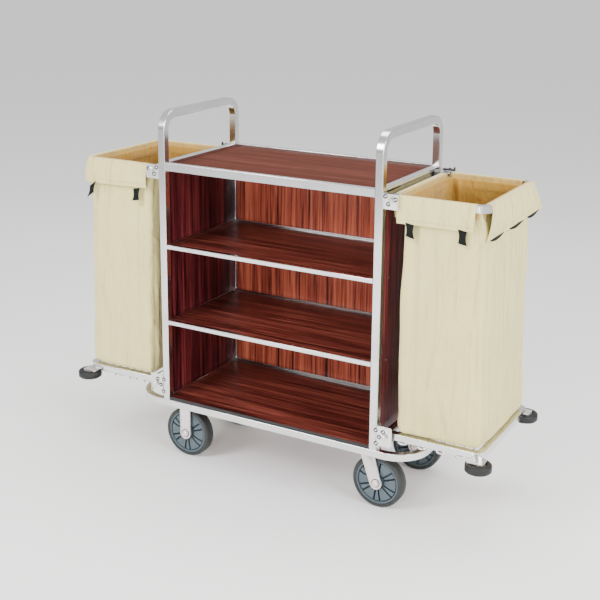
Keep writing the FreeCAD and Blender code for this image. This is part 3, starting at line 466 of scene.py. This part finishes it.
def makeForkLips():
    f = forkLip  # turned-out edges of the pressed fork legs
    for node in ("fixed_fork_front", "fixed_fork_rear", "swivel_fork_front", "swivel_fork_rear"):
        end = "front" if "front" in node else "rear"
        swivel = node.startswith("swivel")
        centre = wheelCentres[f"wheel_core_{end}_{'right' if swivel else 'left'}"]
        foot = Vector((centre.x, 0, centre.z))
        shift, top = f["swivelHead"] if swivel else f["fixedHead"]
        leg = Vector((centre.x + shift, 0, top)) - foot
        along = leg.normalized()
        across = Vector((along.z, 0, -along.x))
        turn = Matrix((across, (0, 1, 0), along)).transposed().to_4x4()
        mesh = bmesh.new()
        for facing in (1, -1):
            face = centre.y + facing * f["legOut"]
            for hand in (1, -1):
                start = foot + across * hand * (f["legHalf"] - f["wide"] / 2)
                lip = box(mesh, (-f["wide"] / 2, -f["tall"] / 2, 0),
                          (f["wide"] / 2, f["tall"] / 2, leg.length - f["short"]))
                bmesh.ops.transform(mesh, matrix=turn, verts=lip)
                middle = face + facing * (f["tall"] / 2 - f["sink"])
                bmesh.ops.translate(mesh, vec=(start.x, middle, start.z), verts=lip)
            legs = set(mesh.verts)
            profile = [mesh.verts.new((f["legHalf"] - k, 0, 0)) for k in (0, f["wide"])]
            edge = mesh.edges.new(profile)
            bmesh.ops.spin(mesh, geom=profile + [edge], cent=(0, 0, 0), axis=(0, 1, 0), angle=math.pi,
                           steps=f["steps"])
            strip = [vert for vert in mesh.verts if vert not in legs]
            faces = list({face for vert in strip for face in vert.link_faces})
            grown = bmesh.ops.extrude_face_region(mesh, geom=faces)["geom"]
            raised = [item for item in grown if isinstance(item, bmesh.types.BMVert)]
            bmesh.ops.translate(mesh, vec=(0, f["tall"], 0), verts=raised)
            bend = [vert for vert in mesh.verts if vert not in legs]  # the lip's round foot
            bmesh.ops.transform(mesh, matrix=turn, verts=bend)
            low = min(face, face + facing * f["tall"]) - facing * f["sink"]
            bmesh.ops.translate(mesh, vec=(foot.x, low, foot.z), verts=bend)
        bmesh.ops.recalc_face_normals(mesh, faces=mesh.faces)
        sharp = [edge for edge in mesh.edges
                 if len(edge.link_faces) == 2 and edge.calc_face_angle() > math.radians(50)]
        bmesh.ops.bevel(mesh, geom=sharp, offset=f["round"], offset_type="OFFSET", segments=2, profile=0.5,
                        affect="EDGES", material=-1, clamp_overlap=True)
        finishPiece(camelName(node) + "Lips", mesh, looks["zinc_steel"], bodyOf[node], 35)


bracketSpots = {"upper": ((0.4775, 0.010), (0.4890, -0.016), (0.5150, 0.002)),
                "lower": ((0.4640, 0.020), (0.4780, -0.004), (0.4660, -0.030), (0.4930, 0.018))}
bracketShape = {
    "pinIn": 0.0125, "pinOut": 0.003, "pinNut": 0.0085, "pinDeep": 0.005, "lift": 0.0002,
    "ring": 0.0080, "ringDeep": 0.0010, "ringOut": 0.0004,
    "head": 0.0042, "headTop": 0.0028, "headDeep": 0.0020, "headOut": 0.0018,
}
# each bar of the latch: along X from the middle of the cart, across Y, and up Z
latchBars = (((0.474, 0.522), (0.2525, 0.2625), (1.1905, 1.1975)),
             ((0.517, 0.522), (0.2535, 0.2610), (1.1970, 1.2050)),
             ((0.497, 0.505), (0.2535, 0.2610), (1.1970, 1.2010)))


def makeBracketBolts():
    b = bracketShape
    for side, sign in (("right", 1), ("left", -1)):
        bright, dark = bmesh.new(), bmesh.new()
        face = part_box("hinge_brackets_" + side)[1].y + b["lift"]
        for level, frameNode in (("upper", "bag_frame_" + side), ("lower", "tray_frame_" + side)):
            low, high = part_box(frameNode)
            pinX = (low.x if sign > 0 else high.x) + sign * b["pinIn"]
            pinZ = (low.z + high.z) / 2
            for end in (-1, 1):
                out = Vector((0, end, 0))
                hexBolt(bright, (pinX, end * (face + b["pinOut"]), pinZ), out, b["pinNut"], b["pinDeep"])
                for x, rise in bracketSpots[level]:
                    at = Vector((sign * x, end * face, pinZ + rise))
                    # a thin black ring under each bolt head is painted shade of its hole
                    prism(dark, at + out * b["ringOut"], out, b["ring"], b["ringDeep"], 20)
                    prism(bright, at + out * b["headOut"], out, b["head"], b["headDeep"], 20, b["headTop"])
        for along, across, tall in latchBars:
            near, far = sorted(sign * x for x in along)
            box(dark, (near, across[0], tall[0]), (far, across[1], tall[1]))
        for mesh, name, look, slotName in ((bright, "bracketBolts", looks["bright_wire"], "bright_wire"),
                                           (dark, "bracketRings", holeShadeAndDarkBars, "bracket_plate")):
            bmesh.ops.recalc_face_normals(mesh, faces=mesh.faces)
            finishPiece(name + side.capitalize(), mesh, look, "cart", 25)


makeAxleNuts()
makeForkLips()
makeBracketBolts()
print("small hardware done")


bagShape = {
    "inner": (0.5165, 0.5290), "outer": (0.8105, 0.8470), "half": (0.2155, 0.2385), "corner": (0.020, 0.030),
    "middleX": 0.667, "top": 1.176, "neck": 1.150, "bottom": 0.3295, "foot": 0.034,
    "columns": 256, "rows": 124, "footRows": 12,
    "flat": (1.42, 1.02), "thick": 0.0014, "squashed": 0.42, "seeds": {"right": 3.7, "left": 9.2},
    "gathers": {"right": 0.55, "left": 1.25}, "fade": 0.16, "slackFrom": 0.62,
    "opening": 0.07, "openShare": 0.42, "rimShare": 0.05, "tuck": 0.012,
    "footRound": 0.016, "baseRound": 0.020, "baseWave": 0.0012,
    "broad": 0.0075, "long": 0.0070, "pull": 0.0048, "slack": 0.0085, "pleat": 0.011,
    "groove": 0.0105, "grooveWide": 0.0095, "grooveOff": 0.021, "grooveWander": 0.006,
    "cornerShares": (0.193, 0.5, 0.693, 1.0), "deepest": 0.009,
}


# point and outward direction on a rounded rectangle; share runs 0 to 1 round it
def outline(share, low, high, half, corner):
    sides = [high - low - 2 * corner, 2 * half - 2 * corner] * 2
    arc = corner * math.pi / 2
    at = (share % 1) * (sum(sides) + 4 * arc)
    starts = [(low + corner, -half), (high, corner - half), (high - corner, half), (low, half - corner)]
    centres = [(high - corner, corner - half), (high - corner, half - corner), (low + corner, half - corner),
               (low + corner, corner - half)]
    for k in range(4):
        turn = math.radians(90 * k)
        ahead = Vector((math.cos(turn), math.sin(turn)))
        if at <= sides[k]:
            return Vector(starts[k]) + ahead * at, Vector((ahead.y, -ahead.x))
        at -= sides[k]
        if at <= arc:
            angle = math.radians(90 * k - 90) + at / corner
            out = Vector((math.cos(angle), math.sin(angle)))
            return Vector(centres[k]) + out * corner, out
        at -= arc
    return Vector(starts[0]), Vector((0, -1))


def between(pair, share):
    return pair[0] + (pair[1] - pair[0]) * share


# hanging folds from the rim, creases beside the corners, diagonal pulls, and slack near the foot
def foldDepth(share, x, y, down, seed, gather):
    b = bagShape
    fade = math.exp(-down / b["fade"])
    broad = noise.noise(Vector((x * 2.2, y * 2.2, down * 1.5 + seed)))
    long = noise.noise(Vector((x * 9, y * 9, down * 0.8 + seed * 2)))
    pull = noise.noise(Vector((x * 8 + down * 3.2, y * 8 - down * 2.6, down * 3 + seed)))
    slackening = max(0.0, (down - b["slackFrom"]) / (1 - b["slackFrom"])) ** 1.6
    slack = noise.noise(Vector((x * 6, y * 6, down * 17 + seed * 3))) * slackening
    pleat = noise.noise(Vector((x * 26, y * 26, down * 1.1 + seed * 5))) * fade * gather
    depth = b["broad"] * broad + b["long"] * long * (0.5 + fade) + b["pull"] * pull
    depth += b["slack"] * slack + b["pleat"] * pleat
    for corner, cornerShare in enumerate(b["cornerShares"]):
        for hand, strength in ((-1, 1.0), (1, 0.8)):
            wander = b["grooveWander"] * noise.noise(Vector((down * 2.3, corner * 3.1, seed + hand)))
            middle = cornerShare + hand * (b["grooveOff"] + wander)
            gap = (share - middle + 0.5) % 1 - 0.5
            deep = strength * (0.55 + 0.6 * noise.noise(Vector((down * 4, corner * 5.0, seed * 2 + hand))))
            depth -= b["groove"] * deep * math.exp(-(gap * b["flat"][0] / b["grooveWide"]) ** 2)
    return depth


def makeBag(side, sign):
    b = bagShape  # one sheet, wrapped round and closed with a flat base
    seed, gather = b["seeds"][side], b["gathers"][side]
    rows = b["rows"] + b["footRows"]
    mesh = bmesh.new()
    cloth = mesh.loops.layers.uv.new("cloth")
    within = mesh.verts.layers.float.new("within")
    mesh.verts.layers.float.new("stitch")
    grid = bmesh.ops.create_grid(mesh, x_segments=b["columns"], y_segments=rows, size=1)["verts"]
    shares = {v: ((v.co.x + 1) / 2, round((v.co.y + 1) / 2 * rows)) for v in grid}
    for face in mesh.faces:
        for loop in face.loops:
            share, row = shares[loop.vert]
            loop[cloth].uv = (share * b["flat"][0], row / rows * b["flat"][1])
    for vert, (share, row) in shares.items():
        down = min(row / b["rows"], 1.0)
        z = between((b["top"], b["bottom"]), down)
        spread = max(0.0, (b["neck"] - z) / (b["neck"] - b["bottom"]))
        opened = b["openShare"] * min(1.0, spread / b["opening"]) + (1 - b["openShare"]) * spread
        low, high, half, corner = (between(b[key], opened) for key in ("inner", "outer", "half", "corner"))
        flat, out = outline(share, low, high, half, corner)
        depth = foldDepth(share, flat.x, flat.y, down, seed, gather)
        depth = min(depth, b["deepest"]) * (0.35 + 0.65 * min(1.0, down / b["rimShare"]))
        if z > b["neck"] - b["tuck"]:
            depth = min(depth, 0.0)
        rounding = 0.0
        if row <= b["rows"] and z < b["bottom"] + b["foot"]:
            lower = (b["bottom"] + b["foot"] - z) / b["foot"]
            rounding = b["footRound"] * (1 - math.sqrt(max(0.0, 1 - lower ** 2)))
        at = flat + out * (depth - rounding)
        if row > b["rows"]:
            inward = (row - b["rows"]) / b["footRows"]
            inset = b["baseRound"]
            edge, _ = outline(share, low + inset, high - inset, half - inset, inset)
            at = edge.lerp(Vector(((low + high) / 2, 0)), inward)
            z = b["bottom"] + b["baseWave"] * noise.noise(Vector((at.x * 14, at.y * 14, seed)))
        vert.co = (sign * at.x, at.y, z)
    bmesh.ops.remove_doubles(mesh, verts=mesh.verts, dist=0.0002)
    bmesh.ops.recalc_face_normals(mesh, faces=mesh.faces)
    middle = Vector((sign * b["middleX"], 0, 0.75))
    if sum(face.normal.dot(face.calc_center_median() - middle) for face in mesh.faces) < 0:
        bmesh.ops.reverse_faces(mesh, faces=mesh.faces)
    bmesh.ops.smooth_vert(mesh, verts=mesh.verts, factor=0.4, use_axis_x=True, use_axis_y=True,
                          use_axis_z=False)
    outer = set(mesh.verts)
    bmesh.ops.solidify(mesh, geom=mesh.faces, thickness=b["thick"])
    # the inner shell takes the painted shade colour of the inside
    for vert in mesh.verts:
        vert[within] = 0.0 if vert in outer else 1.0
    piece = finishPiece("linenBag" + side.capitalize(), mesh, looks["bag_canvas"], "bag_holder_" + side,
                        180)
    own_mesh(piece)
    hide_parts("linen_bag_" + side)


for side, sign in (("right", 1), ("left", -1)):
    makeBag(side, sign)
print("bags done")


cuffShape = {
    "railZ": 1.1775, "half": 0.0138, "round": 0.0055, "midY": 0.2305, "midOut": 0.8255, "midIn": 0.5015,
    "bend": 0.0225, "within": 0.040, "over": 0.042, "thick": 0.0015, "step": 0.006, "fallRows": 26,
    "withinRows": 8, "bendSteps": 14, "arcStep": 18, "rowHeight": 0.0038, "stitchRow": (0.80, 0.86),
    "seeds": {"front": 2.1, "outer": 5.3, "rear": 7.9, "inner": 11.2, "wrap": 14.6},
}
# each run: kind, start, end, drops, flares, bulges, slant of its two ends
cuffRuns = {
    "right": {
        "Front": ("front", 0.513, 0.796, (0.090, 0.088), (-0.002, 0.001), (0.003, 0.003), (0.0, -0.006)),
        "Outer": ("outer", -0.207, 0.226, (0.122, 0.090), (-0.010, 0.032), (0.006, 0.004), (-0.010, 0.004)),
        "Rear": ("rear", 0.520, 0.795, (0.088, 0.090), (0.002, 0.004), (0.003, 0.003), (0.0, 0.0)),
        "Inner": ("inner", -0.196, 0.196, (0.084, 0.084), (0.001, 0.001), (0.003, 0.003), (0.0, 0.0)),
    },
    "left": {
        "Wrap": ("wrap", 0.527, 0.214, (0.091, 0.092), (-0.002, 0.036), (0.008, 0.009), (0.014, 0.0)),
        "Rear": ("rear", 0.520, 0.812, (0.088, 0.088), (0.002, 0.002), (0.004, 0.004), (0.0, 0.0)),
        "Inner": ("inner", -0.196, 0.196, (0.084, 0.084), (0.001, 0.001), (0.003, 0.003), (0.0, 0.0)),
    },
}


# the tube's centre line on one run, as points with outward and forward directions
def railPath(kind, start, end):
    c = cuffShape
    runs = {"front": [((start, -c["midY"]), (end, -c["midY"]), (0, -1))],
            "outer": [((c["midOut"], start), (c["midOut"], end), (1, 0))],
            "rear": [((start, c["midY"]), (end, c["midY"]), (0, 1))],
            "inner": [((c["midIn"], start), (c["midIn"], end), (-1, 0))],
            "wrap": [((start, -c["midY"]), (c["midOut"] - c["bend"], -c["midY"]), (0, -1)),
                     ((c["midOut"], c["bend"] - c["midY"]), (c["midOut"], end), (1, 0))]}[kind]
    points = []
    for k, (a, b, out) in enumerate(runs):
        if k:
            centre = Vector((c["midOut"] - c["bend"], c["bend"] - c["midY"]))
            for step in range(1, c["bendSteps"]):
                angle = math.radians(90 * step / c["bendSteps"] - 90)
                radial = Vector((math.cos(angle), math.sin(angle)))
                points.append((centre + radial * c["bend"], radial, Vector((-radial.y, radial.x))))
        ahead = (Vector(b) - Vector(a)).normalized()
        count = max(4, int((Vector(b) - Vector(a)).length / c["step"]))
        points += [(Vector(a).lerp(Vector(b), step / count), Vector(out), ahead) for step in range(count + 1)]
    return points


# sideways and upward offsets from the tube's centre, and the share of the fall to the hem
def cuffProfile():
    c = cuffShape
    flat = c["half"] - c["round"]
    rows = [(-c["half"], flat - (c["within"] + flat) * (1 - k / c["withinRows"]), 0.0)
            for k in range(c["withinRows"])]
    arc = [(c["round"] * math.cos(math.radians(a)), c["round"] * math.sin(math.radians(a)))
           for a in range(0, 91, c["arcStep"])]
    rows += [(-flat - near, flat + far, 0.0) for near, far in arc]
    rows += [(flat + far, flat + near, 0.0) for near, far in arc]
    return rows + [(c["half"], flat, k / c["fallRows"]) for k in range(1, c["fallRows"] + 1)]


def makeCuff(side, sign, name, run):
    c = cuffShape
    kind, start, end, drops, flares, bulges, slants = run
    path = railPath(kind, start, end)
    profile = cuffProfile()
    lengths = [0.0]
    for first, second in zip(path, path[1:]):
        lengths.append(lengths[-1] + (second[0] - first[0]).length)
    total = lengths[-1]
    seed = c["seeds"][kind] + (0 if sign > 0 else 20)
    mesh = bmesh.new()
    cloth = mesh.loops.layers.uv.new("cloth")
    within = mesh.verts.layers.float.new("within")
    stitch = mesh.verts.layers.float.new("stitch")
    across, along = len(path) - 1, len(profile) - 1
    grid = bmesh.ops.create_grid(mesh, x_segments=across, y_segments=along, size=1)["verts"]
    index = {v: (round((v.co.x + 1) / 2 * across), round((v.co.y + 1) / 2 * along)) for v in grid}
    hem = []
    for vert, (i, j) in index.items():
        point, out, ahead = path[i]
        share = lengths[i] / total
        aside, rise, fall = profile[j]
        drop, flare, bulge = (between(pair, share) for pair in (drops, flares, bulges))
        soft = noise.noise(Vector((point.x * 8, point.y * 8, seed)))
        fine = noise.noise(Vector((point.x * 24, point.y * 24, seed + fall * 1.5)))
        offset = aside + flare * fall ** 1.3 + bulge * math.sin(math.pi * min(fall * 1.05, 1.0))
        offset += (0.0035 * soft + 0.0016 * fine) * min(1.0, fall * 2.5)
        offset = max(offset, aside - 0.0122 * fall)
        lean = slants[0] * (1 - share) ** 6 + slants[1] * share ** 6
        at = point + out * offset + ahead * lean * fall
        z = c["railZ"] + rise - drop * fall + 0.0028 * soft * fall
        if fall == 0:
            z += 0.0006 * fine
        vert.co = (sign * at.x, at.y, z)
        vert[stitch] = 1.0 if c["stitchRow"][0] < fall < c["stitchRow"][1] else 0.0
        # the cloth tucked round the inner side of the tube gets most of the painted shade colour of the
        # inside
        vert[within] = 0.75 if aside < 0 and fall == 0 else 0.0
        if j == along:
            hem.append((i, vert.co.copy(), out, ahead))
    for face in mesh.faces:
        for loop in face.loops:
            i, j = index[loop.vert]
            loop[cloth].uv = (lengths[i], j * c["rowHeight"])
    bmesh.ops.recalc_face_normals(mesh, faces=mesh.faces)
    middle = Vector((sign * bagShape["middleX"], 0, c["railZ"]))
    facing = sum(f.normal.dot(f.calc_center_median() - middle) * f.calc_area() for f in mesh.faces
                 if f.calc_center_median().z < c["railZ"] - 0.05)
    if facing < 0:
        bmesh.ops.reverse_faces(mesh, faces=mesh.faces)
    piece = finishPiece("cuff" + name + side.capitalize(), mesh, looks["bag_canvas"], "bag_holder_" + side,
                        180)
    thicken(piece, c["thick"])
    height = c["within"] + c["over"] + max(drops)
    return [entry[1:] for entry in sorted(hem, key=lambda entry: entry[0])]


hems = {}
for side, sign in (("right", 1), ("left", -1)):
    for name, run in cuffRuns[side].items():
        hems[side, name] = makeCuff(side, sign, name, run)
print("cuffs done")


strapShape = {
    "wide": 0.032, "long": 0.047, "lap": {"right": 0.004, "left": -0.004}, "thick": 0.0022, "pinch": 0.26,
    "tab": 0.011, "tabShare": 0.74, "tabLap": 0.002,
    "loops": (-0.140, 0.005, 0.145), "loop": 0.112, "loopTall": 0.011, "loopLap": 0.003,
}
strapSpots = {"right": ((0.563, 0.004), (0.751, 0.003)), "left": ((0.586, -0.004), (0.790, -0.014))}


def strapGrid(mesh, place):
    grid = bmesh.ops.create_grid(mesh, x_segments=10, y_segments=10, size=1)["verts"]
    for vert in grid:
        vert.co = place(vert.co.x, (1 - vert.co.y) / 2)


def makeStraps(side, sign):
    s = strapShape
    black, tips = bmesh.new(), bmesh.new()
    for mesh in (black, tips):
        mesh.loops.layers.uv.new("cloth")
    for hemName in ("Front" if side == "right" else "Wrap", "Rear"):
        hem = hems[side, hemName]
        for x, twist in strapSpots[side]:
            facing = [entry for entry in hem if abs(entry[1].y) > 0.9]
            point, out, _ = min(facing, key=lambda entry: abs(abs(entry[0].x) - x))
            outward = Vector((sign * out.x, out.y, 0))

            def tab(a, b, low=0.0, tall=s["long"], wide=s["wide"]):
                pinch = 1 - s["pinch"] * math.sin(math.pi * b)
                sag = 0.0012 * math.sin(a * 2 + twist * 300) + 0.0016 + 0.002 * b
                at = point + outward * sag + Vector((a * wide / 2 * pinch + twist * b, 0, 0))
                return (at.x, at.y, point.z + s["lap"][side] - low - tall * b - a * twist * 0.8)

            strapGrid(black, tab)
            tipWide = s["wide"] * s["tabShare"]
            strapGrid(tips, lambda a, b: tab(a, b, s["long"] - s["tabLap"], s["tab"], tipWide))
    hem = hems[side, "Outer" if side == "right" else "Wrap"]
    for middle in s["loops"]:
        line = [entry for entry in hem if abs(entry[1].x) > 0.9 and abs(entry[0].y - middle) < s["loop"] / 2]

        def loop(a, b):
            spot = (a + 1) / 2 * (len(line) - 1)
            first, second = line[int(spot)], line[min(int(spot) + 1, len(line) - 1)]
            point = first[0].lerp(second[0], spot - int(spot))
            tall = s["loopTall"] * (1 - a * a) + 0.0015
            at = point + Vector((sign * (0.0012 - 0.003 * b), 0, 0))
            return (at.x, at.y, point.z + s["loopLap"] - tall * b)

        strapGrid(black, loop)
    for mesh, name, look in ((black, "straps", looks["strap_webbing"]), (tips, "strapTips", creamTab)):
        cloth = mesh.loops.layers.uv.active
        for face in mesh.faces:
            for corner in face.loops:
                corner[cloth].uv = (corner.vert.co.x + corner.vert.co.y, corner.vert.co.z)
        bmesh.ops.recalc_face_normals(mesh, faces=mesh.faces)
        piece = finishPiece(name + side.capitalize(), mesh, look, "bag_holder_" + side, 60)
        thicken(piece, s["thick"])
        if name == "straps":
            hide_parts("bag_straps_" + side)


makeStraps("right", 1)
makeStraps("left", -1)
print("straps done")


floorMesh = bmesh.new()
bmesh.ops.create_grid(floorMesh, x_segments=1, y_segments=1, size=60)  # metres from its middle to an edge
floorData = bpy.data.meshes.new("floor")
floorMesh.to_mesh(floorData)
floorMesh.free()
floor = bpy.data.objects.new("floor", floorData)
bpy.context.scene.collection.objects.link(floor)
floorShader = Shader("paleFloor", Base_Color=(0.97, 0.97, 0.97, 1), Roughness=0.7)
floorData.materials.append(floorShader.material)

world = bpy.data.worlds.new("studio")
bpy.context.scene.world = world
world.use_nodes = True
worldTree = world.node_tree
direction = worldTree.nodes.new("ShaderNodeTexCoord")
split = worldTree.nodes.new("ShaderNodeSeparateXYZ")
sky = worldTree.nodes.new("ShaderNodeValToRGB")
sky.color_ramp.elements[0].color = (0.52, 0.5148, 0.5096, 1)  # at the horizon and below it
sky.color_ramp.elements.new(0.22).color = (1, 0.99, 0.98, 1)  # near white from a little above it
worldTree.links.new(direction.outputs["Generated"], split.inputs[0])
worldTree.links.new(split.outputs["Z"], sky.inputs["Fac"])
worldTree.links.new(sky.outputs["Color"], worldTree.nodes["Background"].inputs["Color"])
worldTree.nodes["Background"].inputs["Strength"].default_value = 1.0


def areaLight(name, place, target, size, power):
    data = bpy.data.lights.new(name, "AREA")
    data.shape = "RECTANGLE"
    data.size, data.size_y = size
    data.energy = power
    lamp = bpy.data.objects.new(name, data)
    lamp.location = place
    lamp.rotation_euler = (Vector(target) - Vector(place)).to_track_quat("-Z", "Y").to_euler()
    bpy.context.scene.collection.objects.link(lamp)


areaLight("keyLight", (-2.2, -4.2, 3.6), (0, 0, 0.8), (2.0, 2.0), 250)
areaLight("fillLight", (4.2, -1.2, 2.6), (0.3, 0, 0.8), (2.2, 2.2), 230)
areaLight("topLight", (0.2, 0.6, 4.2), (0, 0, 0.8), (3, 2), 110)
areaLight("frontLight", (0.9, -5.2, 1.5), (0, 0, 0.75), (2.2, 1.6), 130)

cameraView = {"place": (2.02057, -3.5806, 2.00205), "yaw": 29.42, "pitch": -13.58, "roll": 0.50,
              "lens": 66.585, "shift": -0.1417}
yaw, pitch, roll = (math.radians(cameraView[k]) for k in ("yaw", "pitch", "roll"))
ahead = Vector((-math.sin(yaw) * math.cos(pitch), math.cos(yaw) * math.cos(pitch), math.sin(pitch)))
right = ahead.cross(Vector((0, 0, 1))).normalized()
up = right.cross(ahead)
rolledRight = right * math.cos(roll) + up * math.sin(roll)
rolledUp = up * math.cos(roll) - right * math.sin(roll)
cameraData = bpy.data.cameras.new("camera")
camera = bpy.data.objects.new("camera", cameraData)
cameraData.lens = cameraView["lens"]
cameraData.shift_y = cameraView["shift"]
aim = Matrix((rolledRight, rolledUp, -ahead)).transposed().to_4x4()
camera.matrix_world = Matrix.Translation(Vector(cameraView["place"])) @ aim
bpy.context.scene.collection.objects.link(camera)
bpy.context.scene.camera = camera

print("scene complete")
